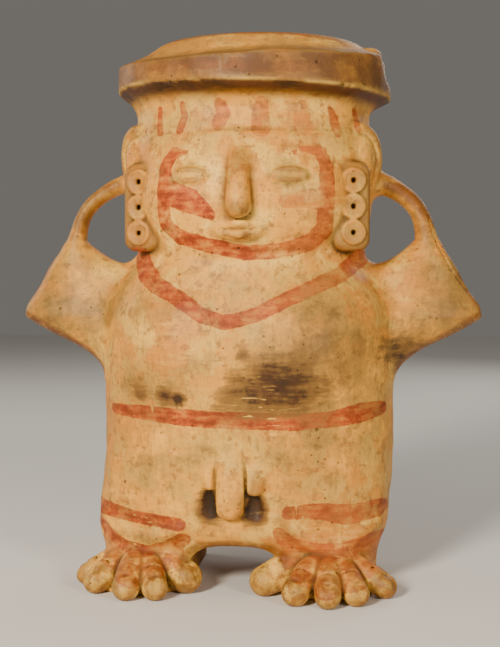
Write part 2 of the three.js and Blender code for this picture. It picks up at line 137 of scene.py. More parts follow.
# Brush strokes of red slip as the front shows them: load of paint, then x, z and half width.
STROKES = [
    (0.55, [(-60, 357, 1.2), (-20, 358.6, 1.5), (30, 358.4, 1.5), (62, 355, 1.2)]),
    (0.4, [(-62, 337, 1.6), (-50, 336, 3.2), (-38, 335, 4.2)]),
    (0.75, [(-40, 336.5, 2.6), (-24, 336, 3.4), (-10, 334.5, 4), (6, 333, 4.4), (20, 332.5, 3.6)]),
    (0.35, [(22, 332.5, 3), (38, 333.4, 3.6), (56, 335, 2)]),
    (0.8, [(-52.6, 311.5, 1.7), (-52, 295.5, 2.3)]),
    (0.95, [(-36.6, 313.5, 2), (-35.2, 305, 2.7), (-38.4, 296.5, 2.6)]),
    (0.6, [(-12.6, 312.5, 3.6), (-9.6, 306.5, 4.4), (-12.8, 299.5, 4.4)]),
    (0.5, [(14.4, 313, 3.8), (13.2, 305, 5.4), (14, 297.5, 6.4)]),
    (0.32, [(39, 311, 3.8), (39, 304, 5), (39.4, 297, 5.2)]),
    (0.75, [(56, 310, 2), (58.6, 302, 2.9), (61.4, 294.5, 2.7)]),
    (0.7, [(70.8, 311, 1.5), (73.4, 298.5, 2)]),
    (0.95, [(-33.6, 281.6, 2.4), (-41.2, 282.6, 3.6), (-46.4, 275, 4.2), (-47.6, 255.8, 4.4),
            (-47, 238, 4.6), (-38, 229.6, 4.6), (-18.3, 223.8, 4.6), (3.6, 219.6, 4.8),
            (20, 220, 4.8)]),
    (0.72, [(20, 220, 4.8), (31.5, 221.9, 4.8), (45.1, 226.4, 4.8), (53.4, 235.1, 5.2),
            (54.8, 252.2, 5), (54.5, 273, 4.2), (50.6, 282.4, 3.6), (41.1, 283.9, 2.2),
            (32.6, 280.4, 1.6)]),
    (1, [(-43, 257, 8), (-30, 251.5, 7.6), (-21, 246, 5), (-16.4, 242.5, 3)]),
    (0.38, [(30, 251, 4.5), (42, 253, 6), (54, 252, 6)]),
    (0.9, [(-68, 217, 7), (-62, 207, 6.6), (-54, 199.5, 6), (-43.4, 194, 5.2), (-32, 187, 4.8),
           (-23, 180.7, 4.8), (-9, 176, 4.6), (2, 178, 4.6)]),
    (0.8, [(2, 178, 4.6), (12.8, 181.5, 4.6), (31.1, 190.7, 4.8), (49.8, 199.3, 5),
           (63, 206, 5.4), (74.9, 216.6, 5.6)]),
    (0.9, [(-84, 118.5, 3.6), (-61, 117.6, 5), (-37, 116, 5.4), (1.2, 114.6, 5.6),
           (38.6, 114, 5.4), (60, 115.2, 5.4), (77, 118.4, 6.6), (88, 119.6, 5)]),
    (0.85, [(-97, 52.5, 4.6), (-66, 48.8, 4.2), (-39, 46, 4.2)]),
    (0.78, [(31, 55.2, 4.4), (50.8, 56.2, 5.4), (68, 52.8, 7), (88, 54.5, 6)]),
    (0.5, [(-92, 27, 6), (-66, 18, 9), (-44, 24, 7)]),
    (0.55, [(32, 25, 7), (55, 17, 10), (76, 20, 9), (90, 28, 7)]),
    (0.8, [(-97, 42, 4), (-88, 33.5, 5.4), (-77.6, 28, 5.4), (-61.1, 25.5, 5.4), (-50, 28.5, 5.4),
           (-37, 36, 5)]),
    (0.8, [(25, 42, 4.4), (33, 33, 6), (50.2, 28.4, 6.4), (66.6, 28.6, 6.4), (86, 34, 6)]),
]

# Edges darkened brown, as strokes are given: wear from handling, and painted shade along the
# silhouettes and the arms' undersides.
WORN_AND_SHADED_EDGES = [
    (1, [(-155, 179, 3), (-150, 175, 4.4), (-130, 163.5, 5), (-112, 153, 5), (-100, 142, 3)]),
    (0.9, [(-121, 246, 2.6), (-108, 259, 3), (-90, 267, 2.6)]),
    (0.8, [(-155, 184, 2), (-142, 205, 2), (-130, 225, 2.4), (-121, 244, 2.6)]),
    (0.6, [(-108, 236, 2.4), (-103, 247, 2.4), (-92, 255, 2)]),
    (1, [(94, 265, 3.6), (104, 261, 4)]), (1, [(108, 257, 4), (119, 247, 4)]),
    (0.8, [(121, 244, 2.6), (129, 232, 2), (141, 206, 2), (155, 184, 2.6)]),
    (0.9, [(155, 179, 3), (150, 175, 4), (134, 164, 4), (112, 152, 4), (100, 142, 3)]),
    (0.9, [(-38, 20, 2), (-36, 26, 2.4), (-27, 32, 2.6), (-4, 34, 2.6), (18, 32, 2.6),
           (27, 26, 2.4), (29, 20, 2)]),
    (0.5, [(-60, 358, 1.6), (-10, 360, 2), (40, 360, 2), (70, 357, 1.6)]),
    (0.5, [(-88, 345, 2.2), (-89, 330, 2)]),
]

# Black smoke and stains, then the grey-brown clouds of the firing: place, reach and strength. The
# clouds on the flanks and the arms' sides, where y lies between -30 and -4, are painted shade.
STAINS = [
    ((24, -75, 134), 13, 0.55), ((8, -75, 129), 13, 0.5), ((38, -74, 131), 12, 0.4),
    ((50, -72, 134), 13, 0.25), ((17, -76, 146), 12, 0.3), ((4, -76, 157), 4, 0.5),
    ((-8, -74, 126), 9, 0.3), ((34, -76, 147), 13, 0.25),
    ((-48, -70, 128), 6, 0.7), ((-38, -72, 128), 4, 0.9),
    ((-30, -71, 149), 3, 0.7), ((-17, -72, 152), 2.5, 0.7), ((-64, -60, 133), 9, 0.3),
    ((103, -17, 153), 13, 0.35), ((97, -24, 160), 13, 0.25), ((86, -40, 156), 10, 0.2),
    # The spots at x -19 and 9.6, z 54 to 64, paint the two shallow hollows beside the tab black.
    ((-19, -61, 55), 7, 1), ((-19, -63, 64), 6, 0.95), ((9.6, -61, 54), 7, 1),
    ((9.6, -63, 61), 6, 0.95), ((-3, -74, 141), 6, 0.35), ((6, -66, 68), 3, 0.7),
]
CLOUDS_AND_FLANK_SHADE = [
    ((48, -66, 170), 34, 0.95), ((66, -58, 150), 28, 0.8), ((30, -70, 140), 32, 0.85),
    ((-66, -60, 137), 24, 0.7), ((-38, -69, 150), 20, 0.45), ((-88, -30, 190), 22, 0.6),
    ((-24, -66, 88), 24, 0.4), ((38, -64, 94), 26, 0.55), ((68, -56, 98), 22, 0.4),
    ((-58, -60, 84), 24, 0.5), ((120, -16, 190), 28, 0.6), ((-125, -18, 186), 24, 0.6),
    ((92, -20, 110), 24, 0.5), ((-93, -20, 100), 24, 0.4), ((0, -66, 196), 26, 0.35),
    ((-134, -18, 188), 24, 0.95), ((-112, -22, 176), 22, 0.8), ((-120, -15, 206), 16, 0.6),
    ((112, -20, 164), 24, 0.95), ((136, -18, 184), 26, 0.7), ((120, -15, 206), 18, 0.7),
    ((-116, -10, 240), 14, 0.7), ((116, -10, 240), 16, 0.8), ((96, -10, 258), 14, 0.6),
    ((34, -74, 258), 22, 0.5), ((-118, -4, 225), 16, 0.5), ((2, -70, 326), 60, 0.3),
    ((-60, -76, 16), 12, 0.6), ((-47, -74, 15), 10, 0.9),
    ((-92, -60, 14), 11, 0.6), ((30, -78, 15), 10, 0.9), ((10, -58, 17), 10, 0.8),
    ((58, -82, 14), 10, 0.6), ((90, -58, 14), 10, 0.5), ((-64, -57, 38), 12, 0.7),
    ((40, 60, 120), 60, 0.7), ((-50, 55, 210), 50, 0.6), ((30, 60, 280), 40, 0.5),
]
SCRAPES = [((14, -72, 121), 17), ((-4, -66, 88), 10), ((68, -58, 34), 12), ((-64, -56, 36), 16)]
FLAMES = [  # strokes of warmer, yellower clay
    ((-22, -72, 150), 34, 0.9), ((-70, -58, 160), 26, 0.7), ((-30, -64, 62), 26, 0.5),
    ((78, -45, 92), 30, 0.8), ((60, -60, 72), 26, 0.6), ((-20, -78, 340), 50, 0.7),
    ((10, -76, 250), 34, 0.45), ((50, -72, 300), 30, 0.4), ((-27, -50, 14), 16, 0.9),
]


def curve(x, y, at):
    """The monotone cubic through (x, y) that the vessel's stations are joined by."""
    x, y = np.asarray(x, float), np.asarray(y, float)
    span = np.diff(x)
    step = np.diff(y) / span
    before, after = step[:-1], step[1:]
    steady = before * after > 0
    total = np.where(steady, before + after, 1)
    inner = np.where(steady, 2 * before * after / total, 0)
    slope = np.concatenate(([step[0]], inner, [step[-1]]))
    i = np.clip(np.searchsorted(x, at, side="right") - 1, 0, len(x) - 2)
    t = np.clip((at - x[i]) / span[i], 0, 1)
    return (
        (2 * t**3 - 3 * t**2 + 1) * y[i] + (t**3 - 2 * t**2 + t) * span[i] * slope[i]
        + (3 * t**2 - 2 * t**3) * y[i + 1] + (t**3 - t**2) * span[i] * slope[i + 1]
    )


def ease(low, high, value):
    t = np.clip((value - low) / (high - low), 0, 1)
    return t * t * (3 - 2 * t)


def soft_min(a, b, blend):
    near = np.maximum(blend - np.abs(a - b), 0) / blend
    return np.minimum(a, b) - near**2 * blend / 4


def soft_max(a, b, blend):
    return -soft_min(-a, -b, blend)


def to_distance(share, cell):
    """A shape's own measure, 1 on its surface, as a distance from that surface."""
    steep = np.sqrt(sum(g * g for g in np.gradient(share, cell)))
    return (share - 1) / np.maximum(steep, 0.002)


class Clay:
    """A body of clay on a grid: the distance from its surface, negative inside."""

    def __init__(self, low, high, cell):
        self.cell = cell
        self.axes = [np.arange(a, b, cell, dtype=np.float32) for a, b in zip(low, high)]
        self.field = np.full([len(axis) for axis in self.axes], 40, np.float32)

    def block(self, low, high, margin=13):
        spans = tuple(
            slice(*np.searchsorted(axis, (a - margin, b + margin)))
            for axis, a, b in zip(self.axes, low, high)
        )
        cuts = (axis[span] for axis, span in zip(self.axes, spans))
        return spans, np.meshgrid(*cuts, indexing="ij", sparse=True)

    def add(self, shape, blend):
        where, place = self.block(*shape.reach)
        self.field[where] = soft_min(self.field[where], shape(*place), blend)

    def cut(self, shape, blend):
        where, place = self.block(*shape.reach)
        self.field[where] = soft_max(self.field[where], -shape(*place), blend)

    def engrave(self, lines, radius, depth):
        """Cut lines given in front view a little way into the front."""
        x, z = np.meshgrid(self.axes[0], self.axes[2], indexing="ij")
        strokes = [(1, [(*place, radius) for place in line]) for line in lines]
        edge, _ = stroke_marks(np.stack([x.ravel(), x.ravel(), z.ravel()], axis=1), strokes)
        near = edge.reshape(x.shape)[:, None, :].astype(np.float32)
        ahead = self.axes[1] < -5
        front = self.field[:, ahead]
        groove = np.minimum(-near, front + depth)
        self.field[:, ahead] = soft_max(front, groove, 0.5)

    def at(self, points, field=None):
        """The field at points, between the grid's corners."""
        field = self.field if field is None else field
        start = np.array([axis[0] for axis in self.axes])
        place = (points - start) / self.cell
        last = np.array(field.shape) - 2
        base = np.clip(np.floor(place).astype(int), 0, last)
        part = np.clip(place - base, 0, 1)
        total = np.zeros(len(points))
        for corner in np.ndindex(2, 2, 2):
            weight = np.prod(np.where(corner, part, 1 - part), axis=1)
            total += weight * field[tuple((base + corner).T)]
        return total

    def blurred(self, times):
        """The field, evened out over its neighbours."""
        even = self.field.copy()
        for _ in range(times):
            for axis in range(3):
                here = np.moveaxis(even, axis, 0)
                here[1:-1] = (here[:-2] + 2 * here[1:-1] + here[2:]) / 4
        return even

    def skin(self):
        """Corner points and four-sided faces of the surface, one point in each cell it crosses."""
        field = self.field
        inside = field < 0
        shape = tuple(n - 1 for n in field.shape)
        count = np.zeros(shape, np.int8)
        for corner in np.ndindex(2, 2, 2):
            count += inside[tuple(slice(c, c + n) for c, n in zip(corner, shape))]
        crossed = (count > 0) & (count < 8)
        number = np.full(shape, -1, np.int32)
        number[crossed] = np.arange(crossed.sum())
        cells = np.argwhere(crossed)
        total = np.zeros((len(cells), 3))
        hits = np.zeros(len(cells))
        for axis in range(3):
            for corner in np.ndindex(2, 2, 2):
                if corner[axis]:
                    continue
                ahead = np.eye(3, dtype=int)[axis]
                a = field[tuple((cells + corner).T)]
                b = field[tuple((cells + corner + ahead).T)]
                hit = (a < 0) != (b < 0)
                share = np.where(hit, a / np.where(hit, a - b, 1), 0)
                total += hit[:, None] * (np.array(corner) + share[:, None] * ahead)
                hits += hit
        start = np.array([axis[0] for axis in self.axes])
        points = start + (cells + total / hits[:, None]) * self.cell
        return points, self.faces(inside, number)

    @staticmethod
    def faces(inside, number):
        """One face for each edge of the grid that the surface crosses, turned outwards."""
        faces = []
        for axis in range(3):
            others = [n for n in range(3) if n != axis]
            keep = [slice(1, -1)] * 3
            keep[axis] = slice(0, -1)
            ahead = list(keep)
            ahead[axis] = slice(1, None)
            low, high = inside[tuple(keep)], inside[tuple(ahead)]
            where = np.argwhere(low != high)
            outward = low[tuple(where.T)]
            base = where + np.array([0 if n == axis else 1 for n in range(3)])
            around = []
            for a, b in ((-1, -1), (0, -1), (0, 0), (-1, 0)):
                step = np.zeros(3, int)
                step[others[0]], step[others[1]] = a, b
                around.append(number[tuple((base + step).T)])
            ring = np.stack(around, axis=1)
            flip = outward if axis == 1 else ~outward
            ring[flip] = ring[flip][:, ::-1]
            faces.append(ring)
        return np.concatenate(faces)


class Pebble:
    """An ellipsoid with the given centre and half sizes."""

    def __init__(self, centre, half):
        self.centre, self.half = np.array(centre, float), np.array(half, float)
        self.reach = self.centre - self.half, self.centre + self.half

    def __call__(self, *place):
        offset = [p - c for p, c in zip(place, self.centre)]
        near = np.sqrt(sum((o / h) ** 2 for o, h in zip(offset, self.half)))
        steep = np.sqrt(sum((o / h**2) ** 2 for o, h in zip(offset, self.half)))
        return near * (near - 1) / np.maximum(steep, 1e-6)


class Limb:
    """A limb through stations (x, y, z, across, deep), with rounded ends."""

    def __init__(self, stations, reference=(0, 1, 0), steps=5):
        rows = np.array(stations, float)
        padded = np.vstack([2 * rows[0] - rows[1], rows, 2 * rows[-1] - rows[-2]])
        fine = []
        for p0, p1, p2, p3 in zip(padded, padded[1:], padded[2:], padded[3:]):
            for t in np.arange(steps) / steps:
                fine.append(0.5 * (
                    2 * p1 + (p2 - p0) * t + (2 * p0 - 5 * p1 + 4 * p2 - p3) * t**2
                    + (3 * p1 - p0 - 3 * p2 + p3) * t**3
                ))
        self.path = np.array(fine + [rows[-1]])
        self.reference = np.array(reference, float)
        girth = self.path[:, 3:].max()
        self.reach = self.path[:, :3].min(0) - girth, self.path[:, :3].max(0) + girth

    def __call__(self, *place):
        nearest = None
        for start, end in zip(self.path, self.path[1:]):
            way = end[:3] - start[:3]
            length = np.linalg.norm(way)
            way = way / length
            deep_way = self.reference - way * (self.reference @ way)
            deep_way /= np.linalg.norm(deep_way)
            across_way = np.cross(deep_way, way)
            offset = [p - s for p, s in zip(place, start[:3])]
            ahead, deep, across = (
                sum(o * w for o, w in zip(offset, axis)) for axis in (way, deep_way, across_way)
            )
            t = np.clip(ahead / length, 0, 1)
            past = ahead - t * length
            girth = [start[n] + (end[n] - start[n]) * t for n in (3, 4)]
            sizes = (*girth, np.minimum(*girth))
            parts = (across, deep, past)
            near = np.sqrt(sum((p / s) ** 2 for p, s in zip(parts, sizes)))
            steep = np.sqrt(sum((p / s**2) ** 2 for p, s in zip(parts, sizes)))
            distance = near * (near - 1) / np.maximum(steep, 1e-6)
            nearest = distance if nearest is None else np.minimum(nearest, distance)
        return nearest


class Trimmed:
    """A shape with another cut away from it, so that the cut touches nothing else."""

    def __init__(self, shape, tool, blend):
        self.shape, self.tool, self.blend, self.reach = shape, tool, blend, shape.reach

    def __call__(self, *place):
        return soft_max(self.shape(*place), -self.tool(*place), self.blend)


class Wedge:
    """A flat upper arm as a stack of level ovals out to the elbow's tip."""

    def __init__(self, side, cell):
        self.side, self.cell = side, cell
        out, deep = WEDGE[:, 1:].max(0)
        ends = sorted((side * out, side * WEDGE_INNER))
        self.reach = (
            np.array([ends[0], WEDGE_Y - deep, WEDGE[0, 0]]),
            np.array([ends[1], WEDGE_Y + deep, WEDGE[-1, 0]]),
        )

    def __call__(self, x, y, z):
        heights = np.clip(z, WEDGE[0, 0], WEDGE[-1, 0])
        out = curve(WEDGE[:, 0], WEDGE[:, 1], heights)
        deep = curve(WEDGE[:, 0], WEDGE[:, 2], heights)
        middle, half = (out + WEDGE_INNER) / 2, (out - WEDGE_INNER) / 2
        share = np.sqrt(((self.side * x - middle) / half) ** 2 + ((y - WEDGE_Y) / deep) ** 2)
        side = to_distance(share, self.cell)
        ends = np.maximum(WEDGE[0, 0] - z, z - WEDGE[-1, 0])
        return soft_max(side, ends, 9)


class EarPlate:
    """A pillow-edged plate that faces forward and a little outward."""

    def __init__(self, side):
        turn = math.radians(side * PLATE["turn"])
        self.centre = np.array([side * PLATE["x"] + HEAD_SHIFT, PLATE["y"], PLATE["middle"]])
        self.right = np.array([math.cos(turn), math.sin(turn), 0])
        self.front = np.array([math.sin(turn), -math.cos(turn), 0])
        self.half = (DISC_RADIUS + PLATE["margin"], DISC_PITCH + DISC_RADIUS + PLATE["margin"])
        size = max(self.half)
        self.reach = self.centre - size, self.centre + size

    def local(self, x, y, z):
        dx, dy, dz = (p - c for p, c in zip((x, y, z), self.centre))
        return (
            dx * self.right[0] + dy * self.right[1],
            dz,
            dx * self.front[0] + dy * self.front[1],
        )

    def __call__(self, *place):
        across, up, proud = self.local(*place)
        corner = self.half[0] / 1.5
        over = [np.abs(v) - (h - corner) for v, h in zip((across, up), self.half)]
        outline = (
            np.sqrt(np.maximum(over[0], 0) ** 2 + np.maximum(over[1], 0) ** 2)
            + np.minimum(np.maximum(*over), 0) - corner
        )
        thick = PLATE["thick"]
        return soft_max(outline, np.abs(proud + thick / 2) - thick / 2, 5)


class Disc(EarPlate):
    """One disc of a plate, with a raised rim and a shallow dish; or the hole through it."""

    def __init__(self, side, step, hole=False):
        super().__init__(side)
        self.up, self.hole = step * DISC_PITCH, hole

    def __call__(self, *place):
        across, up, proud = self.local(*place)
        radius = np.sqrt(across**2 + (up - self.up) ** 2)
        if self.hole:
            wide = DISC_HOLE + 0.9 * ease(DISC_PROUD - 1.6, DISC_PROUD, proud)
            return np.maximum(radius - wide, DISC_PROUD - DISC_HOLE_DEPTH - proud)
        top = DISC_PROUD + 0.3 - 0.9 * (1 - ease(4.8, 7, radius))
        return soft_max(radius - DISC_RADIUS, np.maximum(proud - top, -proud - WALL / 2), 1.2)


def swell(place, wave, count, random):
    """Smooth unevenness of about one unit, with bumps about as far apart as the wave is long."""
    total = 0
    for _ in range(count):
        way = random.normal(size=3)
        way *= 2 * np.pi / (wave * random.uniform(0.7, 1.5)) / np.linalg.norm(way)
        phase = random.uniform(0, 2 * np.pi)
        total = total + np.sin(sum(w * p for w, p in zip(way, place)) + phase)
    return total / math.sqrt(count / 2)


def brim_lift(x, y, level):
    """How far the uneven brim lifts a point of the vessel from its level."""
    foot = ease(HEADBAND, BRIM_FOOT, level) * (1 - ease(BRIM_FOOT, BRIM_TOP, level))
    top = ease(BRIM_FOOT, BRIM_TOP, level) * (1 - ease(BRIM_TOP, HEIGHT, level))
    left = (x / BRIM_REACH + 1) / 2
    return left * (BRIM_RISE * top - BRIM_DROOP * foot) - BRIM_DIP * top * ease(-10, 70, -y)


def brim_level(x, y, z):
    """The level of the vessel that the uneven brim has lifted to each place."""
    level = z + 0 * x + 0 * y
    for _ in range(7):
        level = z - brim_lift(x, y, level)
    return level


def vessel(x, y, z, cell):
    """Distance from the vessel's outside, and the level of its stations at each place."""
    level = np.broadcast_to(z, np.broadcast_shapes(x.shape, y.shape, z.shape)).copy()
    high = z[0, 0] > UNEVEN_FROM
    level[:, :, high] = brim_level(x, y, z[:, :, high])
    heights = np.linspace(0, HEIGHT, 4 * HEIGHT + 1)
    wide, front, back, square, shift = (
        np.interp(level, heights, curve(VESSEL[:, 0], VESSEL[:, n], heights)).astype(np.float32)
        for n in range(1, 6)
    )
    deep = np.where(y < 0, front, back)
    reach = np.abs((x - shift) / wide) ** square + np.abs(y / deep) ** square
    side = to_distance(np.maximum(reach, 1e-9) ** (1 / square), cell)
    return side, level


def front_skin(x, z):
    """How far forward the vessel's front stands at a place below the brim."""
    wide, front, _, square, shift = (
        float(curve(VESSEL[:, 0], VESSEL[:, n], np.array([z]))[0]) for n in range(1, 6)
    )
    return -front * max(0, 1 - abs((x - shift) / wide) ** square) ** (1 / square)


def face_front(x, z):
    middle, half = (FACE["hair"] + FACE["chin"]) / 2, (FACE["hair"] - FACE["chin"]) / 2
    flat = ((x - FACE["x"]) / FACE["wide"]) ** 2 + ((z - middle) / half) ** 2
    return FACE["middle"] - FACE["reach"] * math.sqrt(max(0, 1 - flat))


def face_height(share):
    return FACE["chin"] + share * (FACE["hair"] - FACE["chin"])


def level_bar(x, z, reach, radius, proud, dip=0.0):
    """A level bar that follows the face, thickest in the middle."""
    stations = []
    for share in (-1, -0.5, 0, 0.5, 1):
        girth = radius * (1 - 0.45 * share * share)
        up = z - dip * share * share
        place = (x + share * reach, face_front(x + share * reach, up) - proud)
        stations.append((*place, up, girth, girth))
    return Limb(stations)


def model_face(clay):
    middle, half = face_height(0.5), (FACE["hair"] - FACE["chin"]) / 2
    x0 = FACE["x"]
    clay.add(Pebble((x0, FACE["middle"], middle), (FACE["wide"], FACE["reach"], half)), 9)

    nose = []
    for share, across, proud in ((0.05, 3.8, 1), (0.14, 5.6, 5), (0.5, 6.8, 9), (0.9, 8, 12.5)):
        z = face_height(NOSE_TOP + (NOSE_BASE - NOSE_TOP) * share)
        nose.append((x0, face_front(x0, z) + 3 - proud / 2, z, across, 3 + proud / 2))
    clay.add(Limb(nose), 3)

    for side in (-1, 1):
        x, z = x0 + side * EYE_SPREAD * FACE["wide"], face_height(EYE_LINE)
        clay.cut(level_bar(x, z + 0.5, 12, 5.5, 3.6), 3)
        clay.add(level_bar(x, z + 3.2, 9.5, 2.9, 0.2, 1.2), 1.6)
        clay.add(level_bar(x, z - 2.4, 9.5, 2.7, 0.2, -1), 1.6)
        clay.add(level_bar(x, z + 0.3, 8.5, 2, -0.2), 1)
        for rise in (1.5, -0.9):
            clay.cut(level_bar(x, z + rise, 8.5, 0.85, 2.2, 0.4), 0.5)

    z = face_height(MOUTH_LINE)
    y = face_front(x0, z)
    clay.add(Pebble((x0, y + 0.8, z + 1), (15.5, 4.4, 7.5)), 3)
    clay.add(Limb([(x0 - 11, y - 0.6, z + 1.4, 1.4, 1.5), (x0 - 4, y - 3.2, z + 3.5, 2.3, 2.4),
                   (x0 + 4, y - 3.2, z + 3.5, 2.3, 2.4), (x0 + 11, y - 0.6, z + 1.4, 1.4, 1.5)]), 1)
    clay.add(Limb([(x0 - 10, y - 0.6, z - 0.8, 1.4, 1.5), (x0, y - 3.2, z - 2.7, 2.6, 2.5),
                   (x0 + 10, y - 0.6, z - 0.8, 1.4, 1.5)]), 1)
    clay.cut(Limb([(x0 - 12, y - 1.4, z + 0.2, 0.6, 0.8), (x0, y - 5, z + 0.4, 0.8, 1.2),
                   (x0 + 12, y - 1.4, z + 0.2, 0.6, 0.8)]), 0.8)


def make_toe(ankle, tip, girth):
    """A toe out from the ankle, with the trough of its nail and the crease of its knuckle."""
    (x, y), (tip_x, tip_y) = ankle, tip
    way = np.array([tip_x - x, tip_y - y])
    reach = np.linalg.norm(way)
    way = way / reach
    radius = TOE_RADIUS * girth
    low = radius - TOE_SINK

    def station(out, z, share):
        return (x + way[0] * out, y + way[1] * out, z, radius * share, radius * share)

    toe = Limb([
        station(reach * 0.26, low + 12, 0.95), station(reach * 0.5, low + 8.5, 1.04),
        station(reach - 1.8 * radius, low + 3.5, 1.04), station(reach - radius, low + 0.2, 1),
    ], reference=(0, 0, 1))
    nail = []
    for angle in map(math.radians, NAIL_ARC):
        out = reach - radius + (radius + 0.5) * math.cos(angle)
        up = low + 0.2 + (radius + 0.5) * math.sin(angle)
        nail.append((*station(out, up, 1)[:3], 0.62 * radius, 1.7))
    knuckle = [(x + way[0] * (reach - 1.9 * radius) - way[1] * share,
                y + way[1] * (reach - 1.9 * radius) + way[0] * share,
                low + 4 + radius, 0.8, 0.9) for share in (-0.7 * radius, 0.7 * radius)]
    toe = Trimmed(toe, Limb(nail, reference=(0, 0, 1)), 0.5)
    return Trimmed(toe, Limb(knuckle), 0.5)


def model_feet(clay):
    for ankle, toes in FEET:
        clay.add(Pebble((*ankle, 0), INSTEP), 9)
        for tip, girth in toes:
            clay.add(make_toe(ankle, tip, girth), 1.6)
    for crease in CREASES:
        clay.add(Limb([
            (x, front_skin(x, z + FOLD_UP) + FOLD_SINK, z + FOLD_UP, FOLD_RADIUS, FOLD_RADIUS)
            for x, z in crease
        ]), 4)


def model_pelvis(clay):
    def strip(x, stations):
        return Limb([(x + dx, front_skin(0, z) - proud, z, across, deep)
                     for dx, z, proud, across, deep in stations])

    clay.add(strip(TAB_X, [(1, 99, -3, 5, 3), (0.5, 84, -0.5, 8.4, 4.4),
                           (0, 66, 2.2, 9.2, 6.2), (0, 57, 2.7, 8.8, 6)]), 2.4)
    clay.add(strip(10, [(-4, 88, -3, 3.4, 2.4), (-1, 78, 0, 5.2, 3.4), (0, 70, 0.6, 5.6, 3.8)]), 1.6)
    clay.add(strip(-19, [(3, 90, -2.5, 2.6, 2), (0.5, 80, -0.6, 4, 2.6), (0, 72, -0.6, 4, 2.6)]), 1.6)
    for x, lean in ((-16, 1.6), (4.4, -1.6)):
        clay.cut(strip(x, [(lean, 94, 0.6, 0.6, 0.8), (0, 78, 1.3, 0.9, 1.2),
                           (0, 62, 1.4, 1, 1.6)]), 1.2)
    for x, z, wide, high in ((-19.5, 58, 4.6, 11.5), (10, 58, 5.2, 8.5)):
        clay.cut(Pebble((x, front_skin(0, z), z), (wide, 3.6, high)), 2)


def worn_brim(clay, random):
    """The break at the left end of the brim, and small chips along its lower edge."""
    clay.cut(Pebble(*BRIM_BREAK[0]), 3)
    clay.add(Pebble(*BRIM_NUB), 1.5)
    clay.cut(Pebble(*BRIM_BREAK[1]), 1)
    clay.cut(Pebble(*BRIM_DENT), 0.8)
    for _ in range(BRIM_CHIPS):
        angle = random.uniform(0, 2 * np.pi)
        size = random.uniform(0.6, 2)
        x, y = (92 + 0.3 * size) * math.cos(angle), (81 + 0.3 * size) * math.sin(angle)
        z = BRIM_FOOT - 1 + brim_lift(x, y, BRIM_FOOT - 1)
        clay.cut(Pebble((x + 2.5, y, z), (1.6 * size, 1.6 * size, size)), 1)


def mirrored(rows, side, shift=0):
    return [(side * row[0] + shift, *row[1:]) for row in rows]


def model_arm(clay, side):
    """An arm from the elbow up to the head, with the ear and the ear plate beside it."""
    slim = [(*row[:3], row[3] * (1 + (STRAP_SLIM[side] - 1) * ease(206, 236, row[2])), row[4])
            for row in STRAP]
    clay.add(Wedge(side, clay.cell), 9)
    clay.add(Limb(mirrored(slim, side)), 11)
    (ear,) = mirrored([EAR[0]], side, HEAD_SHIFT)
    clay.add(Pebble(ear, EAR[1]), 6)
    clay.add(Limb(mirrored(EAR_RIM, side, HEAD_SHIFT)), 1.6)
    clay.add(EarPlate(side), 2.5)
    for step in (-1, 0, 1):
        clay.add(Disc(side, step), 0.8)


def model_jug(cell):
    """The whole jug as clay, and the vessel's own outside for telling inside from outside."""
    random = np.random.default_rng(SEED)
    clay = Clay(*BLOCK, cell)
    place = np.meshgrid(*clay.axes, indexing="ij", sparse=True)
    x, y, z = place
    side, level = vessel(x, y, z, cell)
    uneven = sum(swell(place, wave, WAVES, random) * size for wave, size in UNEVEN)
    calm = ease(2, 22, z) * ease(HEIGHT, HEIGHT - 12, z)
    swelling = sum(
        proud * np.exp(-((x - across) / CHEST_WIDE) ** 2 - ((z - up) / CHEST_HIGH) ** 2)
        for across, up, proud in CHEST
    ) * ease(10, -30, y)
    outside = side + (uneven * calm - swelling).astype(np.float32)
    clay.field[:] = soft_max(outside, level - HEIGHT, 4)
    body = side.copy()

    model_face(clay)
    for arm in (-1, 1):
        model_arm(clay, arm)
    clay.engrave(INCISED, INCISED_RADIUS, INCISED_DEPTH)
    groove = np.abs(side + 0.2) - GROOVE_HALF
    groove = np.maximum(groove, np.abs(level - GROOVE_Z) - GROOVE_HALF)
    groove = np.maximum(groove, np.abs(x - FACE["x"]) - GROOVE_REACH)
    groove = np.maximum(groove, y)
    clay.field = soft_max(clay.field, -groove, 1.6).astype(np.float32)
    arch = ((np.abs(x - ARCH["x"]) / ARCH["wide"]) ** ARCH["square"]
            + (np.maximum(z, 0) / ARCH["high"]) ** ARCH["square"])
    arch = (arch ** (1 / ARCH["square"]) - 1) * ARCH["wide"]
    clay.field = soft_max(clay.field, -arch, 6).astype(np.float32)
    model_feet(clay)
    model_pelvis(clay)
    worn_brim(clay, random)

    hollow = soft_max(side + WALL, FLOOR - z, 10)
    hollow = np.maximum(hollow, WALL - arch)
    mouth = np.sqrt(((x - LIP_SHIFT) / (VESSEL[-1, 1] - LIP_WALL)) ** 2
                    + (y / (VESSEL[-1, 2] - LIP_WALL)) ** 2)
    mouth = np.maximum((mouth - 1) * VESSEL[-1, 2], BRIM_TOP + 2 - z)
    hollow = soft_min(hollow, mouth, 3)
    for centre, half in BRIM_BREAK:
        broken = Pebble(centre, half)
        where, near = clay.block(*broken.reach)
        hollow[where] = np.maximum(hollow[where], BREAK_WALL - broken(*near))
    clay.field = soft_max(clay.field, -hollow, 2.5)
    clay.field = soft_max(clay.field, -z, 1.5).astype(np.float32)
    for arm in (-1, 1):
        for step in (-1, 0, 1):
            clay.cut(Disc(arm, step, hole=True), 0.6)
    return clay, body


def seated(points):
    """Points around the vessel's axis as places in the frame, in metres."""
    return (points * UNIT + (0, AXIS_Y, 0)) / 1000


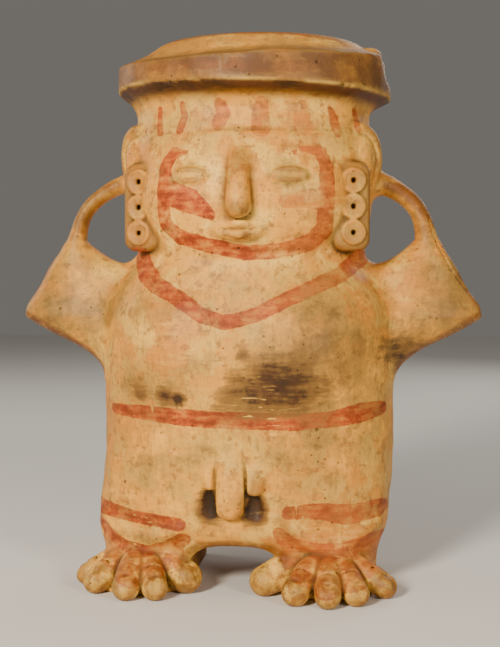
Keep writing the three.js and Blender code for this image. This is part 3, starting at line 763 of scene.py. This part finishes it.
def stroke_marks(points, strokes):
    """For each point the distance to the nearest stroke's edge, and that stroke's load."""
    edge = np.full(len(points), 20.0)
    load = np.zeros(len(points))
    for paint, stations in strokes:
        for (x0, z0, r0), (x1, z1, r1) in zip(stations, stations[1:]):
            dx, dz = x1 - x0, z1 - z0
            px, pz = points[:, 0] - x0, points[:, 2] - z0
            t = np.clip((px * dx + pz * dz) / (dx * dx + dz * dz), 0, 1)
            distance = np.hypot(px - t * dx, pz - t * dz) - (r0 + (r1 - r0) * t)
            nearer = distance < edge
            edge = np.where(nearer, distance, edge)
            load = np.where(nearer, paint, load)
    return edge, load


def patches(points, spots):
    clear = np.ones(len(points))
    for centre, reach, strength in spots:
        away = np.linalg.norm(points - np.array(centre), axis=1) / reach
        clear *= 1 - strength * np.exp(-(away**2))
    return 1 - clear


def mark(mesh, name, values):
    layer = mesh.attributes.new(name, "FLOAT", "POINT")
    layer.data.foreach_set("value", np.ascontiguousarray(values, dtype=np.float32))


def thinned(piece, triangles):
    """The piece's mesh with at most that many triangles."""
    piece.data.calc_loop_triangles()
    share = triangles / len(piece.data.loop_triangles)
    if share < 1:
        modifier = piece.modifiers.new("thin", "DECIMATE")
        modifier.ratio = share
        modifier.use_collapse_triangulate = True
        graph = bpy.context.evaluated_depsgraph_get()
        mesh = bpy.data.meshes.new_from_object(piece.evaluated_get(graph))
        piece.modifiers.clear()
        piece.data = mesh


def settled(clay, points):
    """The points moved onto the clay's surface along its slope."""
    step = 0.5 * CELL
    for _ in range(2):
        slope = np.stack([
            clay.at(points + np.eye(3)[n] * step) - clay.at(points - np.eye(3)[n] * step)
            for n in range(3)
        ], axis=1) / (2 * step)
        size = np.maximum((slope**2).sum(1), 0.2)
        move = slope * (clay.at(points) / size)[:, None]
        points = points - np.clip(move, -0.4 * CELL, 0.4 * CELL)
    points[:, 2] = np.maximum(points[:, 2], 0)
    return points


def mark_painting(mesh, points, outside):
    """The slip, the wear and the smoke, the tones of the clay, and painted shade along edges and on
    the flanks.
    """
    edge, load = stroke_marks(points, STROKES)
    front = outside & (points[:, 1] < 6)
    mark(mesh, "slip_edge", np.where(front, edge, 20))
    mark(mesh, "slip_load", load)
    # Darkened edges: wear, and painted shade along the silhouettes and the arms' undersides.
    edge, load = stroke_marks(points, WORN_AND_SHADED_EDGES)
    mark(mesh, "rub", ease(3, -1.5, edge) * load * front)
    mark(mesh, "smoke", patches(points, STAINS) * outside)
    mark(mesh, "scrape", patches(points, [(*s, 1) for s in SCRAPES]) * outside)
    mark(mesh, "cloud_and_shade", patches(points, CLOUDS_AND_FLANK_SHADE) * outside)
    mark(mesh, "flame", patches(points, FLAMES) * outside)
    mark(mesh, "foot", ease(32, 20, points[:, 2]) * ease(-40, -60, points[:, 1]) * outside)
    plate = np.zeros(len(points))
    for side in (-1, 1):
        near = EarPlate(side)(*points.T)
        plate = np.maximum(plate, ease(2.5, 0.5, near))
    mark(mesh, "plate", plate)
    mark(mesh, "within", np.where(outside, 0.0, 1.0))


def mark_relief(mesh, points, clay):
    """How hollow or proud each place is, over a short way and over a longer one."""
    here = clay.at(points)
    near, far = ((clay.at(points, clay.blurred(times)) - here) / CELL for times in (6, 22))
    # These feed the material's darkening of hollows and valleys, partly grime and partly painted
    # shade.
    mark(mesh, "hollow", np.clip(-near * 2, 0, 1))
    mark(mesh, "edge", np.clip(far * 0.9 - 0.08, 0, 1))
    mark(mesh, "valley", np.clip(-far * 0.8 - 0.05, 0, 1))


def mark_brim(mesh, points, outside):
    """The brim, its upright band, its keels and the shade under it: masks for a painted highlight
    along the keels and painted shade under the brim.
    """
    level = points[:, 2].copy()
    high = level > UNEVEN_FROM
    level[high] = brim_level(*points[high].T)
    from_foot, from_top = level - BRIM_FOOT, level - BRIM_TOP
    under = ease(HEADBAND + 3, BRIM_FOOT - 1.5, level) * ease(0.5, -1, from_foot)
    mark(mesh, "under", under * outside)
    mark(mesh, "brim", ease(-1.5, 1, from_foot) * outside)
    mark(mesh, "band", ease(-2, 0, from_foot) * ease(6, 0, from_top) * outside)
    keel = ease(1.9, 0.3, abs(from_foot - 0.2))
    keel = np.maximum(keel, 0.25 * ease(1.8, 0.3, abs(from_top - 0.4)))
    mark(mesh, "keel", keel * outside)


def make_jug():
    clay, body = model_jug(CELL)
    points, faces = clay.skin()
    points = settled(clay, points)
    mesh = bpy.data.meshes.new("jug_clay")
    mesh.from_pydata(points.tolist(), [], faces.tolist())
    mesh.validate()
    piece = bpy.data.objects.new("jug_clay", mesh)
    bpy.context.scene.collection.objects.link(piece)
    thinned(piece, TRIANGLES)

    mesh = piece.data
    flat = np.empty(len(mesh.vertices) * 3)
    mesh.vertices.foreach_get("co", flat)
    points = flat.reshape(-1, 3)
    outside = clay.at(points, body) > -0.8 * WALL
    mark_painting(mesh, points, outside)
    mark_relief(mesh, points, clay)
    mark_brim(mesh, points, outside)
    mesh.vertices.foreach_set("co", np.ascontiguousarray(seated(points)).ravel())
    for polygon in mesh.polygons:
        polygon.use_smooth = True
    mesh.update()
    return piece


class Nodes:
    """Shorthand for building a material's node tree."""

    def __init__(self, name):
        self.material = bpy.data.materials.new(name)
        self.material.use_nodes = True
        self.tree = self.material.node_tree
        self.surface = next(n for n in self.tree.nodes if n.type == "BSDF_PRINCIPLED")

    def put(self, socket, value):
        if isinstance(value, bpy.types.NodeSocket):
            self.tree.links.new(value, socket)
        elif isinstance(value, tuple) and len(value) == 3 and socket.type == "RGBA":
            socket.default_value = (*value, 1)
        else:
            socket.default_value = value

    def add(self, kind, output=0, settings=None, **inputs):
        node = self.tree.nodes.new("ShaderNode" + kind)
        for key, value in (settings or {}).items():
            setattr(node, key, value)
        for key, value in inputs.items():
            name = key.replace("_", " ")
            index = next(i for i, s in enumerate(node.inputs) if s.name == name and s.enabled)
            self.put(node.inputs[index], value)
        return node.outputs[output]

    def math(self, operation, a, b=0.0, clamp=False):
        node = self.tree.nodes.new("ShaderNodeMath")
        node.operation, node.use_clamp = operation, clamp
        self.put(node.inputs[0], a)
        self.put(node.inputs[1], b)
        return node.outputs[0]

    def ramp(self, value, low, high):
        """0 below low and 1 above high, or the other way round where low is the larger."""
        node = self.tree.nodes.new("ShaderNodeMapRange")
        node.interpolation_type = "SMOOTHSTEP"
        start, end = (0.0, 1.0) if low < high else (1.0, 0.0)
        for name, v in (("Value", value), ("From Min", min(low, high)), ("From Max", max(low, high)),
                        ("To Min", start), ("To Max", end)):
            self.put(node.inputs[name], v)
        return node.outputs[0]

    def mix(self, share, a, b, blend="MIX"):
        node = self.tree.nodes.new("ShaderNodeMix")
        node.data_type, node.blend_type = "RGBA", blend
        self.put(node.inputs[0], share)
        self.put(node.inputs[6], a)
        self.put(node.inputs[7], b)
        return node.outputs[2]

    def noise(self, place, scale, detail=4.0, rough=0.55, output=0):
        return self.add("TexNoise", output, Vector=place, Scale=scale, Detail=detail,
                        Roughness=rough)

    def mark(self, name):
        return self.add("Attribute", 2, {"attribute_name": name})


def linear(*colour):
    return tuple(
        v / 12.92 if v <= 0.04045 else ((v + 0.055) / 1.055) ** 2.4
        for v in (c / 255 for c in colour)
    )


CREAM, PALE, OCHRE, TAN = (
    linear(*c) for c in ((228, 164, 60), (246, 196, 90), (200, 130, 44), (138, 90, 42))
)
RED, DEEP_RED, ROSE = (linear(*c) for c in ((172, 74, 22), (128, 50, 16), (192, 104, 42)))
BROWN, UMBER, GREY, GRIME_AND_SHADE, SOOT = (
    linear(*c) for c in ((100, 56, 22), (88, 55, 28), (110, 80, 38), (54, 35, 18), (36, 24, 15))
)


def clay_material():
    """Burnished cream slip over buff clay, with worn red slip, smoke, grime and pits, painted shade
    in hollows, under the brim, along edges and on the flanks, and a painted highlight along the
    brim's keels.
    """
    n = Nodes("painted_clay")
    place = n.add("TexCoord", 3)
    upright = n.add("Mapping", 0, Vector=place, Scale=(1.0, 1.0, 0.2))
    level = n.add("Mapping", 0, Vector=place, Scale=(0.16, 0.3, 1.0))
    broad = n.noise(place, 12.0, 4.0, 0.6)
    dusky = n.noise(place, 24.0, 7.0, 0.68)
    cloudy = n.noise(place, 42.0, 6.0, 0.66)
    mottled = n.noise(place, 150.0, 6.0, 0.7)
    grain = n.noise(place, 900.0, 4.0, 0.6)
    brushed = n.noise(upright, 420.0, 3.0, 0.5)
    wiped = n.noise(level, 260.0, 4.0, 0.6)

    def part(share, amount):
        return n.math("MULTIPLY", share, amount)

    colour = n.mix(n.ramp(broad, 0.38, 0.62), CREAM, OCHRE)
    colour = n.mix(part(n.ramp(cloudy, 0.46, 0.6), 0.8), colour, PALE)
    colour = n.mix(part(n.ramp(dusky, 0.5, 0.34), 0.6), colour, TAN)
    flame = part(n.mark("flame"), n.ramp(cloudy, 0.36, 0.56))
    colour = n.mix(part(flame, 0.7), colour, OCHRE)
    colour = n.mix(part(n.ramp(mottled, 0.5, 0.34), 0.75), colour, TAN)
    colour = n.mix(part(n.ramp(brushed, 0.5, 0.7), 0.28), colour, TAN)
    colour = n.mix(part(n.ramp(wiped, 0.5, 0.7), 0.22), colour, PALE)
    # Firing clouds, and painted shade on the flanks and the arms' sides, turn the clay grey.
    cloud_and_shade = n.math("ADD", part(n.mark("cloud_and_shade"), 1.1), part(n.math("SUBTRACT", cloudy, 0.5), 2.2))
    cloud_and_shade = n.math("ADD", cloud_and_shade, part(n.math("SUBTRACT", mottled, 0.5), 1.8))
    cloud_and_shade = part(n.ramp(cloud_and_shade, 0.2, 1.45), 0.95)
    colour = n.mix(cloud_and_shade, colour, GREY)
    colour = n.mix(part(n.mark("plate"), n.math("ADD", 0.25, part(cloudy, 0.8))), colour, GREY)
    foot = n.mark("foot")
    colour = n.mix(part(part(n.ramp(mottled, 0.47, 0.56), foot), 0.9), colour, PALE)
    colour = n.mix(part(part(n.ramp(cloudy, 0.53, 0.42), foot), 0.75), colour, GREY)

    ragged = n.math("ADD", part(n.math("SUBTRACT", mottled, 0.5), 2.2),
                    part(n.math("SUBTRACT", cloudy, 0.5), 1.6))
    edge = n.math("ADD", n.mark("slip_edge"), ragged)
    painted = n.ramp(edge, 0.35, -0.45)
    worn = n.math("ADD", part(mottled, 0.55), part(wiped, 0.45))
    load = n.mark("slip_load")
    cover = part(painted, n.math("MULTIPLY", load, 1.15, clamp=True))
    cover = part(cover, n.math("SUBTRACT", 1.0, part(n.ramp(worn, 0.48, 0.64), 0.5)))
    cover = part(cover, n.math("SUBTRACT", 1.0, part(n.ramp(cloudy, 0.5, 0.66), 0.35)))
    red = n.mix(n.ramp(worn, 0.54, 0.4), RED, DEEP_RED)
    red = n.mix(part(n.ramp(broad, 0.5, 0.66), 0.5), red, ROSE)
    colour = n.mix(cover, colour, red)
    rim = part(n.ramp(edge, -1.5, -0.3), part(painted, load))
    colour = n.mix(part(rim, 0.14), colour, DEEP_RED)

    brim = part(n.mark("brim"), n.math("ADD", 0.3, part(cloudy, 0.7)))
    colour = n.mix(part(brim, n.ramp(wiped, 0.2, 0.6)), colour, TAN)
    band = part(n.mark("band"), n.math("ADD", 0.55, part(n.ramp(cloudy, 0.34, 0.62), 0.4)))
    colour = n.mix(band, colour, UMBER)
    # Painted shade under the brim's overhang, with some soot, in grime colour.
    under = part(n.mark("under"), n.math("ADD", 0.5, part(wiped, 0.8)))
    colour = n.mix(n.math("MULTIPLY", under, 1.25, clamp=True), colour, GRIME_AND_SHADE)
    smoke = n.math("ADD", part(n.mark("smoke"), 2.0), part(n.math("SUBTRACT", wiped, 0.5), 1.7))
    smoke = n.math("ADD", smoke, part(n.math("SUBTRACT", mottled, 0.5), 1.5))
    near = n.ramp(n.mark("smoke"), 0.02, 0.2)
    colour = n.mix(part(part(n.ramp(smoke, 0.05, 0.6), 0.85), near), colour, GREY)
    colour = n.mix(part(part(n.ramp(smoke, 0.5, 1.35), 0.95), near), colour, SOOT)
    scratch = n.add("Mapping", 0, Vector=place, Rotation=(0.0, 0.35, 0.0), Scale=(0.14, 1.0, 1.0))
    scratches = n.ramp(n.noise(scratch, 560.0, 3.0, 0.6), 0.6, 0.68)
    scraped = part(n.mark("scrape"), scratches)
    colour = n.mix(part(scraped, 0.85), colour, PALE)
    colour = n.mix(part(part(scratches, n.ramp(broad, 0.45, 0.6)), 0.14), colour, PALE)

    # Hollows, creases and the valleys round the swellings darken towards grime colour: partly grime,
    # partly painted shade.
    hollow = n.mark("hollow")
    hollow_grime_and_shade = n.math("MULTIPLY", hollow, n.math("ADD", 0.25, mottled), clamp=True)
    hollow_grime_and_shade = n.math("MAXIMUM", hollow_grime_and_shade, part(n.mark("valley"), part(n.ramp(cloudy, 0.35, 0.6), 0.85)))
    colour = n.mix(hollow_grime_and_shade, colour, GRIME_AND_SHADE)
    # A pale line along the brim's keels: painted highlight, with some wear.
    keel_highlight_and_wear = part(n.mark("keel"), part(n.ramp(cloudy, 0.38, 0.62), 0.55))
    # Convex edges and the listed edge strokes darken brown: partly wear, partly painted shade along
    # the silhouettes.
    worn_and_shaded = part(n.mark("edge"), part(n.ramp(cloudy, 0.36, 0.56), 0.7))
    worn_and_shaded = part(worn_and_shaded, n.math("SUBTRACT", 1.0, n.mark("brim")))
    worn_and_shaded = n.math("MAXIMUM", worn_and_shaded, part(n.mark("rub"), n.ramp(mottled, 0.3, 0.5)))
    colour = n.mix(part(worn_and_shaded, 0.9), colour, BROWN)
    colour = n.mix(part(keel_highlight_and_wear, 0.7), colour, PALE)

    def specks(scale, size, rarity):
        """Small round marks at some of the points of a scatter."""
        near = n.add("TexVoronoi", 0, Vector=place, Scale=scale)
        cell = n.add("TexVoronoi", 1, Vector=place, Scale=scale)
        chosen = n.ramp(n.add("SeparateColor", 0, Color=cell), rarity, rarity + 0.03)
        return part(n.ramp(near, size, size * 0.45), chosen)

    pit = n.math("MAXIMUM", specks(80.0, 0.12, 0.88), specks(240.0, 0.2, 0.9))
    colour = n.mix(part(pit, 0.75), colour, GRIME_AND_SHADE)
    within = n.mark("within")
    colour = n.mix(part(within, 0.7), colour, TAN)

    rough = n.math("ADD", 0.4, part(mottled, 0.2))
    rough = n.math("ADD", rough, part(hollow_grime_and_shade, 0.35))
    rough = n.math("ADD", rough, part(cover, 0.08))
    rough = n.math("ADD", rough, part(within, 0.35), clamp=True)
    height = n.math("ADD", part(mottled, 0.9), part(grain, 0.14))
    height = n.math("ADD", height, part(brushed, 0.4))
    height = n.math("SUBTRACT", height, part(pit, 1.6))
    height = n.math("ADD", height, part(cover, 0.3))
    height = n.math("SUBTRACT", height, part(scraped, 0.3))
    bump = n.add("Bump", 0, Strength=0.6, Distance=0.00045, Height=height)
    n.put(n.surface.inputs["Base Color"], colour)
    n.put(n.surface.inputs["Roughness"], rough)
    n.put(n.surface.inputs["Normal"], bump)
    n.surface.inputs["Specular IOR Level"].default_value = 0.22
    return n.material


def floor_material():
    n = Nodes("pale_floor")
    place = n.add("TexCoord", 3)
    tone = n.noise(place, 3.0, 2.0, 0.5)
    n.put(n.surface.inputs["Base Color"], n.mix(tone, (0.72, 0.71, 0.69), (0.76, 0.75, 0.73)))
    n.surface.inputs["Roughness"].default_value = 0.85
    return n.material


def make_stage():
    mesh = bpy.data.meshes.new("floor")
    size = 3.0
    mesh.from_pydata([(-size, -size, 0), (size, -size, 0), (size, size, 0), (-size, size, 0)],
                     [], [(0, 1, 2, 3)])
    floor = bpy.data.objects.new("floor", mesh)
    floor.data.materials.append(floor_material())
    bpy.context.scene.collection.objects.link(floor)

    world = bpy.data.worlds.new("studio")
    world.use_nodes = True
    background = world.node_tree.nodes["Background"]
    background.inputs["Color"].default_value = (0.95, 0.9, 0.82, 1)
    background.inputs["Strength"].default_value = 0.17
    bpy.context.scene.world = world


def make_light(name, place, size, power, colour):
    light = bpy.data.lights.new(name, "AREA")
    light.shape, light.size, light.energy, light.color = "DISK", size, power, colour
    lamp = bpy.data.objects.new(name, light)
    lamp.location = place
    aim = Vector((0, 0, 0.19)) - lamp.location
    lamp.rotation_euler = aim.to_track_quat("-Z", "Y").to_euler()
    bpy.context.scene.collection.objects.link(lamp)


def make_camera():
    """The photograph's view: a little towards the figure's left, at the height of its neck."""
    distance, height, azimuth, pitch = 0.818, 0.2087, math.radians(6), math.radians(2.55)
    camera = bpy.data.objects.new("camera", bpy.data.cameras.new("camera"))
    camera.data.sensor_width = 36
    camera.data.lens = 66.8
    camera.location = (
        distance * math.sin(azimuth), AXIS_Y / 1000 - distance * math.cos(azimuth), height,
    )
    camera.rotation_euler = (math.pi / 2 - pitch, 0, azimuth)
    bpy.context.scene.collection.objects.link(camera)
    bpy.context.scene.camera = camera


make_camera()
make_light("key", (-0.6, -1.5, 0.8), 0.4, 46, (1.0, 0.9, 0.75))
make_light("side", (0.95, -1.2, 0.5), 0.35, 12, (1.0, 0.91, 0.78))
make_light("back", (0.6, 1.4, 1.0), 1.0, 8, (1.0, 0.94, 0.86))
make_light("far_side", (-1.4, 0.7, 0.7), 0.8, 6, (1.0, 0.93, 0.84))
make_stage()

jug = make_jug()
jug.data.materials.append(clay_material())
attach(jug, "root")
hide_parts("jug")
